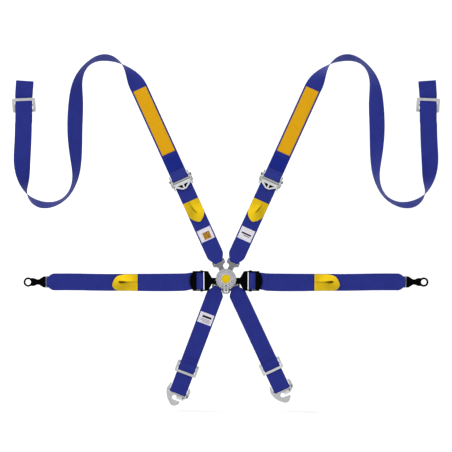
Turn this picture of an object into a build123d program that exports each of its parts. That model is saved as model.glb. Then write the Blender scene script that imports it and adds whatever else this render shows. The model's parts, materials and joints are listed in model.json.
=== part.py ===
"""Six-point racing harness: +Z up, -Y forwards, origin where the knob's axis meets the buckle's back."""
from build123d import *
from math import atan2, cos, degrees, hypot, radians, sin
import os

os.makedirs("parts", exist_ok=True)

# Webbing
web_width = 51.0
web_thick = 1.5
half_web = web_width / 2
nose_width = 25.0
loop_inner = 3.6
loop_outer = loop_inner + web_thick
pull_width = 50.0

# Strap directions, measured from +Z towards +X
shoulder_angle = 24.5
lap_height = -6.0
lap_angle = 90.4
left_leg_angle = -159.3
right_leg_angle = 155.0

# Buckle: all fronts are measured from the middle of the tongues
tongue_middle = 12.0
dial_radius = 31.0
housing_radius = 29.0
back_plate_rear = -9.0
back_plate_thick = 2.5
housing_front = 7.0
dial_rear = 7.4
dial_front = 14.0
inner_ring_radius = 16.0
badge_radius = 13.2
blade_width = 16.0
blade_tip = 19.0
plate_thick = 3.0
slot_play = 0.3
spindle_radius = 4.0
running = 0.05
cam_rear = 3.6
spring_radius = 14.5
spring_wire = 0.5
tongue_bar = 57.5
tongue_slot = 28.0

# Shoulder adjuster, distances along the strap from the knob's axis
lever_tip = 296.0
lever_pivot = 317.0
lever_front = 12.5
cross_member = 318.0
lock_bar_at = 331.0
lock_bar_front = 3.7
lock_bar_radius = 2.8
top_bar_at = 332.0
top_bar_front = 13.6
rail_inner = 27.0
rail_outer = 31.0
pull_tip = 189.0
pull_sewn = 256.0
fold_end = 412.0
patch_start = 413.0
patch_end = 624.0
straight_end = 631.0
patch_width = 41.0
upper_front = 9.0
label_at = 146.0
label_wide = 43.0
label_long = 38.0

# Shoulder tail: distance outward, height, twist in degrees
tail_path = [
    (262, 574, 0), (284, 612, 50), (313, 644, 90), (361, 662, 110), (409, 646, 100),
    (438, 606, 112), (449, 530, 145), (452, 450, 150), (449, 362, 130), (453, 292, 105),
    (480, 243, 98), (523, 222, 108), (565, 226, 114), (597, 257, 90), (605, 290, 57),
    (610, 345, 20), (608, 400, 0), (606, 465, 0),
]
tail_sections = 60
tail_slide_at = (605.0, 519.0)
tail_slide_pivot = 8.4
tail_slide_tilt = 22.0
slide_thick = 2.2
slide_opening = 53.5
slide_lean = 2.5
tail_slide_wide = 70.0
tail_slide_bars = (8.0, 5.5)
tail_slide_gap = 11.25
tail_top = 593.0
loop_from = 547.0
loop_lean = 4.0

# Lap
lap_bar_at = 73.0
lap_bar_back = -2.6
lap_bar_radius = 4.0
lap_turn = 4.95
lap_plate_height = 58.0
lap_web = lap_bar_back - lap_turn
lap_lip = (88.5, 109.0)
lap_pull_sewn = 265.0
lap_pull_tip = 337.0
lap_seam = 464.0
lap_end_bar = 534.0
eye_at = 593.0
eye_outer = 14.0
eye_hole = 8.25

# Leg
leg_bar = (26.0, -28.0)
leg_web = -10.5
leg_label_at = 98.0
leg_slide_at = 258.0
leg_slide_wide = 68.0
leg_slide_bars = (7.0, 5.0)
leg_slide_gap = 9.5
leg_slide_pivot = 265.0
leg_slide_tilt = 24.0
hook_bar_at = 334.0
hook_turn = 4.95
hook_mid = leg_web - hook_turn
hook_thick = 4.0
gate_pivot = (-20.0, 346.0)
gate_stud = (-8.0, 348.0)
hook_pin = (-31.0, 338.5)


def front_plane(front):
    """Plane facing the viewer at a distance in front of the tongues' middle."""
    return Plane.XZ.offset(tongue_middle + front)


def face_plane(angle, front=0.0, start=(0.0, 0.0)):
    """Plane facing the viewer: x across the strap, y along it."""
    a = radians(angle)
    return Plane((start[0], -tongue_middle - front, start[1]), x_dir=(cos(a), 0, -sin(a)), z_dir=(0, -1, 0))


def side_plane(angle, start=(0.0, 0.0)):
    """Plane seen from the strap's edge: x along the strap, y towards the viewer."""
    a = radians(angle)
    return Plane((start[0], -tongue_middle, start[1]), x_dir=(sin(a), 0, cos(a)), z_dir=(cos(a), 0, -sin(a)))


def finish(piece, label):
    piece.part.label = label
    export_step(piece.part, f"parts/{label}.step")


def sewn_loop(bar, bar_front, flat_at, flat_front, doubled_end):
    """Edge-on outline of webbing folded round a bar and sewn to itself up to doubled_end."""
    way = 1 if flat_at > bar else -1
    with Locations((bar, bar_front)):
        Circle(loop_outer)
    with Locations((flat_at + way, flat_front)):
        Rectangle(2, 2 * web_thick)
    make_hull()
    with Locations(((flat_at + doubled_end) / 2, flat_front)):
        Rectangle(abs(doubled_end - flat_at), 2 * web_thick)


def loop_hole(bar, bar_front, tip, tip_front):
    with Locations((bar, bar_front)):
        Circle(loop_inner)
    with Locations((tip, tip_front)):
        Circle(0.3)
    make_hull()


def strap_outline(nose, shoulder, end, narrow=nose_width):
    """Face-on outline that narrows from full width at the shoulder to the nose."""
    Polygon(
        (-half_web, end), (half_web, end), (half_web, shoulder),
        (narrow / 2, nose), (-narrow / 2, nose), (-half_web, shoulder), align=None,
    )


def ribbon(*points):
    """Edge-on outline of one layer of webbing along a line of points."""
    for (x0, y0), (x1, y1) in zip(points, points[1:]):
        with Locations(Location(((x0 + x1) / 2, (y0 + y1) / 2, 0), degrees(atan2(y1 - y0, x1 - x0)))):
            Rectangle(hypot(x1 - x0, y1 - y0), web_thick)
    for x, y in points[1:-1]:
        with Locations((x, y)):
            Circle(web_thick / 2)


# ---------------------------------------------------------------- buckle
def buckle():
    with BuildPart() as back_plate:
        with BuildSketch(front_plane(back_plate_rear)):
            Circle(housing_radius)
            Circle(spindle_radius + running, mode=Mode.SUBTRACT)
            with PolarLocations(23, 3, start_angle=90):
                Circle(1.6, mode=Mode.SUBTRACT)
        extrude(amount=back_plate_thick)
    finish(back_plate, "buckle_back_plate")

    body_rear = back_plate_rear + back_plate_thick
    with BuildPart() as body:
        with BuildSketch(front_plane(body_rear)):
            Circle(housing_radius)
        extrude(amount=housing_front - body_rear)
        chamfer(body.faces().sort_by(Axis.Y)[0].edges(), 1.2)
        half_slot = plate_thick / 2 + slot_play
        for angle in (-shoulder_angle, shoulder_angle, -lap_angle, lap_angle):
            rise = lap_height if abs(angle) == lap_angle else 0
            with BuildSketch(face_plane(angle, -half_slot, (0, rise))):
                with Locations((0, 26)):
                    Rectangle(blade_width + 2 * slot_play, 18)
            extrude(amount=2 * half_slot, mode=Mode.SUBTRACT)
        with BuildSketch(front_plane(half_slot)):
            Circle(25)
            Circle(9, mode=Mode.SUBTRACT)
        extrude(amount=housing_front - half_slot, mode=Mode.SUBTRACT)
        with BuildSketch(front_plane(cam_rear - 0.1)):
            Circle(25)
        extrude(amount=housing_front, mode=Mode.SUBTRACT)
        with BuildSketch(front_plane(body_rear)):
            with PolarLocations(23, 3, start_angle=90):
                Circle(1.55)
        extrude(amount=5, mode=Mode.SUBTRACT)
        with BuildSketch(front_plane(body_rear)):
            Circle(spindle_radius + running)
        extrude(amount=20, mode=Mode.SUBTRACT)
    finish(body, "buckle_housing")

    with BuildPart() as screws:
        with BuildSketch(front_plane(back_plate_rear)):
            with PolarLocations(23, 3, start_angle=90):
                Circle(1.5)
        extrude(amount=7)
        with BuildSketch(front_plane(back_plate_rear)):
            with PolarLocations(23, 3, start_angle=90):
                Circle(2.6)
        extrude(amount=-1.4)
    finish(screws, "housing_screws")

    with BuildPart() as spindle:
        with BuildSketch(front_plane(back_plate_rear)):
            Circle(spindle_radius)
        extrude(amount=10.9 - back_plate_rear)
        with BuildSketch(front_plane(back_plate_rear)):
            Circle(7)
        extrude(amount=-plate_thick)
    finish(spindle, "buckle_spindle")

    with BuildPart() as leaves:
        for angle in (-shoulder_angle, shoulder_angle, -lap_angle, lap_angle):
            rise = lap_height if abs(angle) == lap_angle else 0
            with BuildSketch(face_plane(angle, 2.2, (0, rise))):
                with Locations((0, 17.5)):
                    Rectangle(6, 9)
            extrude(amount=1.2)
            with BuildSketch(face_plane(angle, -1.2, (0, rise))):
                with Locations((0, 22.2)):
                    Rectangle(5, 1.6)
            extrude(amount=4.6)
    finish(leaves, "latch_leaves")

    with BuildPart() as spring:
        with BuildLine():
            coil = Helix(
                pitch=1.3, height=1.95, radius=spring_radius,
                center=(0, -tongue_middle - 4.4, 0), direction=(0, -1, 0),
            )
        with BuildSketch(Plane(coil @ 0, z_dir=coil % 0)):
            Circle(spring_wire)
        sweep()
    finish(spring, "knob_spring")

    leg_marks = ((-leg_bar[0], leg_bar[1], left_leg_angle), (leg_bar[0], leg_bar[1], right_leg_angle))
    rear = leg_web - plate_thick / 2
    with BuildPart() as leg_plate:
        with BuildSketch(front_plane(rear)):
            Circle(27)
        extrude(amount=plate_thick - 0.05)
        with BuildSketch(face_plane(180, rear)):
            with Locations((0, 34)):
                RectangleRounded(23, 22, 6)
        extrude(amount=plate_thick - 0.05)
        for x, z, angle in leg_marks:
            with BuildSketch(face_plane(angle, rear, (x, z))):
                with Locations((0, -6)):
                    RectangleRounded(36, 18, 4)
            extrude(amount=plate_thick - 0.05)
        for x, z, angle in leg_marks:
            with BuildSketch(face_plane(angle, rear, (x, z))):
                with Locations((0, -4.25)):
                    Rectangle(25, 2.1)
            extrude(amount=plate_thick, mode=Mode.SUBTRACT)
        with BuildSketch(front_plane(rear)):
            Circle(7.5)
        extrude(amount=plate_thick, mode=Mode.SUBTRACT)
        with BuildSketch(front_plane(rear)):
            with PolarLocations(23, 3, start_angle=90):
                Circle(2.8)
        extrude(amount=plate_thick, mode=Mode.SUBTRACT)
    finish(leg_plate, "leg_strap_plate")


def knob():
    rim_front = dial_front - 2.5
    with BuildPart() as dial:
        with BuildSketch(front_plane(dial_rear)):
            Circle(dial_radius)
            with PolarLocations(dial_radius + 2.0, 24):
                Circle(2.9, mode=Mode.SUBTRACT)
        extrude(amount=rim_front - dial_rear)
        chamfer(dial.faces().sort_by(Axis.Y)[0].edges(), 1.0)
        with BuildSketch(front_plane(rim_front)):
            Circle(27)
        extrude(amount=dial_front - rim_front, taper=12)
        with BuildSketch(front_plane(dial_front - 1.8)):
            Circle(24)
            Circle(inner_ring_radius + 1, mode=Mode.SUBTRACT)
            with PolarLocations(20.5, 8, start_angle=22.5):
                Rectangle(8, 1.4, mode=Mode.SUBTRACT)
        extrude(amount=2, mode=Mode.SUBTRACT)
        with BuildSketch(front_plane(dial_front)):
            Circle(inner_ring_radius)
            Circle(badge_radius + running, mode=Mode.SUBTRACT)
        extrude(amount=2.4, taper=8)
        with BuildSketch(front_plane(dial_rear)):
            Circle(spindle_radius + running)
        extrude(amount=4, mode=Mode.SUBTRACT)
    finish(dial, "knob_dial")

    with BuildPart() as badge:
        with BuildSketch(front_plane(dial_front + running)):
            Circle(badge_radius)
        extrude(amount=1.6)
        fillet(badge.faces().sort_by(Axis.Y)[0].edges(), 0.7)
    finish(badge, "knob_badge")

    with BuildPart() as lever:
        with BuildSketch(face_plane(180, dial_front + running)):
            Polygon((-7, 16.5), (7, 16.5), (7, 37), (8.5, 41), (-8.5, 41), (-7, 37), align=None)
        extrude(amount=3.4)
        fillet(lever.edges().filter_by(Axis.Y), 1.5)
        with BuildSketch(face_plane(180, dial_front + 1.2)):
            with Locations((0, 27)):
                SlotOverall(18, 7.8, rotation=90)
                SlotOverall(13, 3.2, rotation=90, mode=Mode.SUBTRACT)
        extrude(amount=3, mode=Mode.SUBTRACT)
    finish(lever, "release_lever")

    with BuildPart() as cam:
        with BuildSketch(front_plane(cam_rear)):
            Circle(8.6)
            with PolarLocations(0, 4):
                with Locations((0, 9)):
                    Circle(3)
            Circle(spindle_radius + running, mode=Mode.SUBTRACT)
        extrude(amount=dial_rear - running - cam_rear)
    finish(cam, "release_cam")


# ---------------------------------------------------------------- shoulder straps
def tongue(angle, label):
    with BuildPart() as piece:
        with BuildSketch(face_plane(angle, -plate_thick / 2)):
            with Locations((0, (blade_tip + 42) / 2)):
                Rectangle(blade_width, 42 - blade_tip)
            Polygon(
                (-8, 40), (8, 40), (12, 43), (18.5, 45.5), (19.6, 48), (19.6, 60),
                (-19.6, 60), (-19.6, 48), (-18.5, 45.5), (-12, 43), align=None,
            )
            with Locations((0, 53.65)):
                Rectangle(tongue_slot, 2.7, mode=Mode.SUBTRACT)
            with Locations((0, 22.2)):
                Rectangle(6, 2.4, mode=Mode.SUBTRACT)
        extrude(amount=plate_thick)
    finish(piece, label)


def shoulder_lower_strap(angle, label):
    with BuildPart() as piece:
        with BuildSketch(side_plane(angle)):
            sewn_loop(tongue_bar, 0, 74, 0, 105)
            with Locations(((105 + lock_bar_at - 6) / 2, 0)):
                Rectangle(lock_bar_at - 6 - 105, web_thick)
        extrude(amount=half_web, both=True)
        with BuildSketch(side_plane(angle)):
            loop_hole(tongue_bar, 0, 70, 0)
        extrude(amount=half_web, both=True, mode=Mode.SUBTRACT)
        with BuildSketch(face_plane(angle, -10)):
            strap_outline(tongue_bar - loop_outer, 79, lock_bar_at)
        extrude(amount=20, mode=Mode.INTERSECT)
    finish(piece, label)


def shoulder_free_end(angle, label):
    """The same webbing, turned round the locking bar and back down in front."""
    mid = lock_bar_radius + 0.15 + web_thick / 2
    front = lock_bar_front + mid
    with BuildPart() as piece:
        with BuildSketch(side_plane(angle)):
            with Locations((lock_bar_at, lock_bar_front)):
                Circle(mid + web_thick / 2)
                Circle(mid - web_thick / 2, mode=Mode.SUBTRACT)
            with Locations((lock_bar_at - 10, lock_bar_front)):
                Rectangle(20, 30, mode=Mode.SUBTRACT)
            ribbon((lock_bar_at - 5, lock_bar_front - mid), (lock_bar_at, lock_bar_front - mid))
            ribbon((lock_bar_at, front), (322, front - 2.2), (290, 1.7), (pull_sewn, 1.7))
        extrude(amount=half_web, both=True)
    finish(piece, label)


def pull_loop(angle, start, sewn, tip, rear, label):
    """Folded yellow webbing: flat where it is sewn, open towards its tip."""
    way = 1 if tip > sewn else -1
    with BuildPart() as piece:
        with BuildSketch(side_plane(angle, start)):
            with Locations((tip - 7 * way, rear + 7)):
                Circle(7)
            with Locations((sewn + 12 * way, rear + web_thick)):
                Rectangle(24, 2 * web_thick)
            make_hull()
        extrude(amount=pull_width / 2, both=True)
        with BuildSketch(side_plane(angle, start)):
            with Locations((tip - 7 * way, rear + 7)):
                Circle(5.5)
            with Locations((sewn + 26 * way, rear + 2.2)):
                Circle(0.3)
            make_hull()
        extrude(amount=pull_width / 2, both=True, mode=Mode.SUBTRACT)
    finish(piece, label)


def adjuster_frame(angle, label):
    with BuildPart() as piece:
        for way in (-1, 1):
            middle = way * (rail_inner + rail_outer) / 2
            with BuildSketch(face_plane(angle, -1.5)):
                with Locations((middle, 323.5)):
                    Rectangle(rail_outer - rail_inner, 46)
            extrude(amount=11)
            with BuildSketch(face_plane(angle, 9.5)):
                with Locations((middle, 325)):
                    Rectangle(rail_outer - rail_inner, 24)
            extrude(amount=6)
        with BuildSketch(face_plane(angle, 8)):
            with Locations((0, cross_member)):
                RectangleRounded(70, 15, 3)
        extrude(amount=1.9)
        with BuildSketch(face_plane(angle, 9)):
            with Locations((0, 323.5)):
                RectangleRounded(2 * rail_outer + 2, 5, 1)
        extrude(amount=3.4)
        with BuildSketch(face_plane(angle, top_bar_front - 1.5)):
            with Locations((0, top_bar_at)):
                Rectangle(2 * rail_outer, 5)
        extrude(amount=3)
        with BuildSketch(side_plane(angle)):
            with Locations((lock_bar_at + 1, lock_bar_front)):
                SlotOverall(2 * lock_bar_radius + 2.2, 2 * lock_bar_radius + 0.1)
            with Locations((lever_pivot, lever_front)):
                Circle(1.55)
        extrude(amount=rail_outer + 1, both=True, mode=Mode.SUBTRACT)
    finish(piece, label)


def locking_bar(angle, label):
    with BuildPart() as piece:
        with BuildSketch(side_plane(angle)):
            with Locations((lock_bar_at, lock_bar_front)):
                RegularPolygon(lock_bar_radius, 12)
        extrude(amount=36, both=True)
        for way in (-1, 1):
            with BuildSketch(side_plane(angle).offset(way * 32)):
                with Locations((lock_bar_at, lock_bar_front)):
                    Circle(4.6)
            extrude(amount=way * 4)
    finish(piece, label)


def adjuster_lever(angle, label):
    """Finger tab with a centre rib and two open triangles."""
    with BuildPart() as piece:
        with BuildSketch(face_plane(angle, lever_front - 1.2)):
            Polygon(
                (-26, lever_pivot), (26, lever_pivot), (26, 309), (6, lever_tip), (-6, lever_tip),
                (-26, 309), align=None,
            )
            for way in (-1, 1):
                Polygon(
                    (2.5 * way, 310.5), (17 * way, 310.5), (4.5 * way, 300), (2.5 * way, 300),
                    align=None, mode=Mode.SUBTRACT,
                )
        extrude(amount=2.4)
        with BuildSketch(side_plane(angle)):
            with Locations((lever_pivot, lever_front)):
                Circle(2.2)
        extrude(amount=rail_inner - 0.3, both=True)
        with BuildSketch(side_plane(angle)):
            with Locations((lever_pivot, lever_front)):
                Circle(1.5)
        extrude(amount=rail_outer, both=True)
    finish(piece, label)


def shoulder_upper_strap(side, label):
    """Strap above the adjuster, its twisted tail and the loop at the tail's end."""
    angle = side * shoulder_angle
    with BuildPart() as piece:
        with BuildSketch(side_plane(angle)):
            sewn_loop(top_bar_at, top_bar_front, 358, upper_front, fold_end)
        extrude(amount=half_web, both=True)
        with BuildSketch(side_plane(angle)):
            loop_hole(top_bar_at, top_bar_front, 350, 10.4)
        extrude(amount=half_web, both=True, mode=Mode.SUBTRACT)
        with BuildSketch(side_plane(angle)):
            with Locations(((fold_end + straight_end) / 2, upper_front)):
                Rectangle(straight_end - fold_end, web_thick)
        extrude(amount=half_web, both=True)
        # the middle coordinate of this path is the twist, not a place
        path = Spline(*[(side * out, twist, up) for out, up, twist in tail_path], mode=Mode.PRIVATE)
        for step in range(tail_sections + 1):
            here = path @ (step / tail_sections)
            way = path % (step / tail_sections)
            heading = atan2(way.X, way.Z)
            twist = radians(here.Y) * side
            across = (cos(heading) * cos(twist), -sin(twist), -sin(heading) * cos(twist))
            section = Plane(
                (here.X, -tongue_middle - upper_front, here.Z), x_dir=across,
                z_dir=(sin(heading), 0, cos(heading)),
            )
            with BuildSketch(section):
                Rectangle(web_width, web_thick)
        loft(ruled=True)
        up = tail_path[-1][1]
        with BuildSketch(side_plane(0, (side * tail_slide_at[0], 0))):
            with Locations(((up + loop_from) / 2, upper_front)):
                Rectangle(loop_from + 1 - up, web_thick)
        extrude(amount=half_web, both=True)
        loop_plane = side_plane(-side * loop_lean, (side * tail_slide_at[0], loop_from))
        loop_end = tail_top - loop_from - 6
        with BuildSketch(loop_plane):
            with Locations((loop_end, upper_front)):
                Circle(6)
            with Locations((1, upper_front)):
                Rectangle(4, 2 * web_thick)
            make_hull()
        extrude(amount=half_web, both=True)
        with BuildSketch(loop_plane):
            with Locations((loop_end, upper_front)):
                Circle(4.5)
            with Locations((7, upper_front)):
                Circle(0.3)
            make_hull()
        extrude(amount=half_web, both=True, mode=Mode.SUBTRACT)
    finish(piece, label)


def flat_patch(angle, start, middle, wide, long, rear, thick, label):
    with BuildPart() as piece:
        with BuildSketch(face_plane(angle, rear, start)):
            with Locations((0, middle)):
                RectangleRounded(wide, long, 1.5)
        extrude(amount=thick)
    finish(piece, label)


def three_bar_slide(angle, centre, front, middle, tilt, wide, bars, gap, label):
    """Flat frame with three bars, tilted so that the webbing runs between them."""
    a = radians(angle)
    t = radians(tilt)
    end_bar, middle_bar = bars
    plane = Plane(
        (centre[0], -tongue_middle - front, centre[1]), x_dir=(cos(a), 0, -sin(a)),
        z_dir=(-sin(t) * sin(a), -cos(t), -sin(t) * cos(a)),
    )
    with BuildPart() as piece:
        with BuildSketch(plane):
            with Locations((0, middle)):
                RectangleRounded(wide, 2 * (end_bar + gap) + middle_bar, 4)
                with GridLocations(0, middle_bar + gap, 1, 2):
                    Rectangle(slide_opening, gap, mode=Mode.SUBTRACT)
        extrude(amount=slide_thick / 2, both=True)
    finish(piece, label)


# ---------------------------------------------------------------- lap straps
def lap_adjuster(angle, label):
    start = (0, lap_height)
    tall = lap_plate_height
    with BuildPart() as piece:
        with BuildSketch(face_plane(angle, -plate_thick / 2, start)):
            with Locations((0, (blade_tip + 34) / 2)):
                Rectangle(blade_width, 34 - blade_tip)
            Polygon(
                (-9.3, 31), (9.3, 31), (9.3, 42), (tall / 2, 53), (tall / 2, 65.3),
                (-tall / 2, 65.3), (-tall / 2, 53), (-9.3, 42), align=None,
            )
            with Locations((0, 22.2)):
                Rectangle(6, 2.4, mode=Mode.SUBTRACT)
        extrude(amount=plate_thick)
        with BuildSketch(face_plane(angle, plate_thick / 2, start)):
            with Locations((0, 60)):
                Rectangle(tall, 8)
            for way in (-1, 1):
                with Locations((way * 27.8, 78)):
                    Rectangle(4.2, 44)
        extrude(amount=plate_thick)
        with BuildSketch(face_plane(angle, 4.2, start)):
            with BuildLine():
                half = tall / 2 + 0.5
                Polyline((-half, 97), (-half, lap_lip[0]), (half, lap_lip[0]), (half, 97))
                ThreePointArc((half, 97), (0, lap_lip[1]), (-half, 97))
            make_face()
        extrude(amount=3)
    finish(piece, label)


def lap_lock_bar(angle, label):
    with BuildPart() as piece:
        with BuildSketch(side_plane(angle, (0, lap_height))):
            with Locations((lap_bar_at, lap_bar_back)):
                Circle(lap_bar_radius)
        extrude(amount=32, both=True)
    finish(piece, label)


def lap_free_end(angle, label):
    with BuildPart() as piece:
        with BuildSketch(side_plane(angle, (0, lap_height))):
            with Locations((lap_bar_at, lap_bar_back)):
                Circle(lap_turn + web_thick / 2)
                Circle(lap_turn - web_thick / 2, mode=Mode.SUBTRACT)
            with Locations((lap_bar_at + 10, lap_bar_back)):
                Rectangle(20, 30, mode=Mode.SUBTRACT)
            front = lap_bar_back + lap_turn
            ribbon((lap_bar_at, front), (112, front), (160, lap_web + 1.7), (lap_pull_sewn, lap_web + 1.7))
        extrude(amount=half_web, both=True)
    finish(piece, label)


def lap_strap(angle, label):
    with BuildPart() as piece:
        with BuildSketch(side_plane(angle, (0, lap_height))):
            with Locations(((lap_bar_at + lap_seam) / 2, lap_web)):
                Rectangle(lap_seam - lap_bar_at - 0.4, web_thick)
        extrude(amount=half_web, both=True)
    finish(piece, label)


def lap_strap_end(angle, label):
    start = (0, lap_height)
    with BuildPart() as piece:
        with BuildSketch(side_plane(angle, start)):
            sewn_loop(lap_end_bar, lap_web, 517, lap_web, lap_seam)
        extrude(amount=half_web, both=True)
        with BuildSketch(side_plane(angle, start)):
            loop_hole(lap_end_bar, lap_web, 521, lap_web)
        extrude(amount=half_web, both=True, mode=Mode.SUBTRACT)
        with BuildSketch(face_plane(angle, -25, start)):
            strap_outline(lap_end_bar + loop_outer, 519, lap_seam, 22)
        extrude(amount=35, mode=Mode.INTERSECT)
    finish(piece, label)


def lap_end_fitting(angle, label):
    with BuildPart() as piece:
        with BuildSketch(face_plane(angle, lap_web - plate_thick / 2, (0, lap_height))):
            Polygon(
                (-14.8, 531), (14.8, 531), (16.8, 533), (16.8, 547), (8, 561), (8, 566), (12, 576), (12, eye_at),
                (-12, eye_at), (-12, 576), (-8, 566), (-8, 561), (-16.8, 547), (-16.8, 533), align=None,
            )
            with Locations((0, eye_at)):
                Circle(eye_outer)
            with Locations((0, 538.4)):
                Rectangle(27.5, 2.8, mode=Mode.SUBTRACT)
            with Locations((0, eye_at)):
                Circle(eye_hole, mode=Mode.SUBTRACT)
        extrude(amount=plate_thick)
    finish(piece, label)


# ---------------------------------------------------------------- leg straps
def leg_strap(angle, start, label):
    with BuildPart() as piece:
        with BuildSketch(side_plane(angle, start)):
            sewn_loop(0, leg_web, 17, leg_web, 50)
            with Locations(((50 + hook_bar_at - 4) / 2, leg_web)):
                Rectangle(hook_bar_at - 54, web_thick)
        extrude(amount=half_web, both=True)
        with BuildSketch(side_plane(angle, start)):
            loop_hole(0, leg_web, 13, leg_web)
        extrude(amount=half_web, both=True, mode=Mode.SUBTRACT)
        with BuildSketch(face_plane(angle, -25, start)):
            strap_outline(-loop_outer, 20, hook_bar_at, 22)
        extrude(amount=30, mode=Mode.INTERSECT)
    finish(piece, label)


def leg_strap_end(angle, start, label):
    """The turn round the hook's bar and the layer that runs back up behind the slide."""
    back = hook_mid - hook_turn
    with BuildPart() as piece:
        with BuildSketch(side_plane(angle, start)):
            with Locations((hook_bar_at, hook_mid)):
                Circle(hook_turn + web_thick / 2)
                Circle(hook_turn - web_thick / 2, mode=Mode.SUBTRACT)
            with Locations((hook_bar_at - 10, hook_mid)):
                Rectangle(20, 30, mode=Mode.SUBTRACT)
            ribbon((hook_bar_at - 3.5, leg_web), (hook_bar_at, leg_web))
            ribbon((hook_bar_at, back), (322, back), (264, leg_web - 6))
        extrude(amount=half_web, both=True)
    finish(piece, label)


def snap_hook(angle, start, label):
    """Flat hook: two arms beside the webbing, a bar it is folded round, and an open claw."""
    with BuildPart() as piece:
        with BuildSketch(face_plane(angle, hook_mid - hook_thick / 2, start)):
            with BuildLine():
                Line((31.5, 314), (36, 333))
                ThreePointArc((36, 333), (29, 354), (14, 371))
                ThreePointArc((14, 371), (2, 377.5), (-10, 372))
                Polyline(
                    (-10, 372), (-15, 366), (-15.5, 361), (-15.5, 348), (-27, 347.5), (-33.5, 342),
                    (-35.5, 335), (-35.5, 321), (-31, 314), (31.5, 314),
                )
            make_face()
            with Locations((0, 322)):
                Rectangle(2 * rail_inner, 18, mode=Mode.SUBTRACT)
            with Locations((0, 338.45)):
                Rectangle(2 * rail_inner, 3.1, mode=Mode.SUBTRACT)
            with Locations((5, 352.5)):
                Circle(6.7, mode=Mode.SUBTRACT)
            Polygon((5, 350), (-20, 350), (-20, 360.5), (5, 359.1), align=None, mode=Mode.SUBTRACT)
            with Locations(gate_pivot, hook_pin):
                Circle(1.65, mode=Mode.SUBTRACT)
        extrude(amount=hook_thick)
    finish(piece, label)


def hook_gate(angle, start, label):
    with BuildPart() as piece:
        with BuildSketch(face_plane(angle, hook_mid + hook_thick / 2 + 0.1, start)):
            Polygon(
                (-24.5, 342.3), (-6, 344.5), (-0.5, 348), (-2, 355), (-22, 354), (-26, 349),
                align=None,
            )
            with Locations(gate_pivot):
                Circle(4)
                Circle(1.65, mode=Mode.SUBTRACT)
        extrude(amount=1.6)
        with BuildSketch(face_plane(angle, hook_mid + hook_thick / 2 + 1.6, start)):
            with Locations(gate_stud):
                Circle(2.2)
        extrude(amount=1.0)
    finish(piece, label)


def hook_rivets(angle, start, label):
    with BuildPart() as piece:
        with BuildSketch(face_plane(angle, hook_mid - hook_thick / 2 - 0.8, start)):
            with Locations(gate_pivot, hook_pin):
                Circle(1.6)
        extrude(amount=hook_thick + 2.6)
        with BuildSketch(face_plane(angle, hook_mid + hook_thick / 2 + 1.8, start)):
            with Locations(gate_pivot, hook_pin):
                Circle(2.7)
        extrude(amount=0.9)
    finish(piece, label)


# ---------------------------------------------------------------- assembly
buckle()
knob()
for name, side in (("left", -1), ("right", 1)):
    swing = side * shoulder_angle
    tongue(swing, f"{name}_shoulder_tongue")
    shoulder_lower_strap(swing, f"{name}_shoulder_lower_strap")
    shoulder_free_end(swing, f"{name}_shoulder_free_end")
    pull_loop(swing, (0, 0), pull_sewn, pull_tip, 2.6, f"{name}_shoulder_pull_loop")
    adjuster_frame(swing, f"{name}_shoulder_adjuster_frame")
    locking_bar(swing, f"{name}_shoulder_locking_bar")
    adjuster_lever(swing, f"{name}_shoulder_adjuster_lever")
    shoulder_upper_strap(side, f"{name}_shoulder_upper_strap")
    flat_patch(
        swing, (0, 0), (patch_start + patch_end) / 2, patch_width, patch_end - patch_start,
        upper_front + web_thick / 2 + running, 1.2, f"{name}_shoulder_patch",
    )
    flat_patch(
        swing, (0, 0), label_at, label_wide, label_long,
        web_thick / 2 + running, 0.6, f"{name}_shoulder_label",
    )
    three_bar_slide(
        side * slide_lean, (side * tail_slide_at[0], tail_slide_at[1] + tail_slide_pivot), upper_front,
        -tail_slide_pivot, tail_slide_tilt, tail_slide_wide, tail_slide_bars, tail_slide_gap,
        f"{name}_tail_slide",
    )

    turn = side * lap_angle
    lap_adjuster(turn, f"{name}_lap_adjuster")
    lap_lock_bar(turn, f"{name}_lap_lock_bar")
    lap_free_end(turn, f"{name}_lap_free_end")
    pull_loop(
        turn, (0, lap_height), lap_pull_sewn, lap_pull_tip, lap_web + 2.6, f"{name}_lap_pull_loop"
    )
    lap_strap(turn, f"{name}_lap_strap")
    lap_strap_end(turn, f"{name}_lap_strap_end")
    lap_end_fitting(turn, f"{name}_lap_end_fitting")

for name, side, turn in (("left", -1, left_leg_angle), ("right", 1, right_leg_angle)):
    start = (side * leg_bar[0], leg_bar[1])
    leg_strap(turn, start, f"{name}_leg_strap")
    leg_strap_end(turn, start, f"{name}_leg_strap_end")
    a = radians(turn)
    centre = (start[0] + leg_slide_pivot * sin(a), start[1] + leg_slide_pivot * cos(a))
    three_bar_slide(
        turn, centre, leg_web, leg_slide_at - leg_slide_pivot, leg_slide_tilt,
        leg_slide_wide, leg_slide_bars, leg_slide_gap, f"{name}_leg_slide",
    )
    snap_hook(turn, start, f"{name}_snap_hook")
    hook_gate(turn, start, f"{name}_hook_gate")
    hook_rivets(turn, start, f"{name}_hook_rivets")

flat_patch(
    left_leg_angle, (-leg_bar[0], leg_bar[1]), leg_label_at, label_wide, 33,
    leg_web + web_thick / 2 + running, 0.6, "left_leg_label",
)
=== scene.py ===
"""Racing harness: webbing, stitching, finishes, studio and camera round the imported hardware."""
import json
import math

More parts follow.
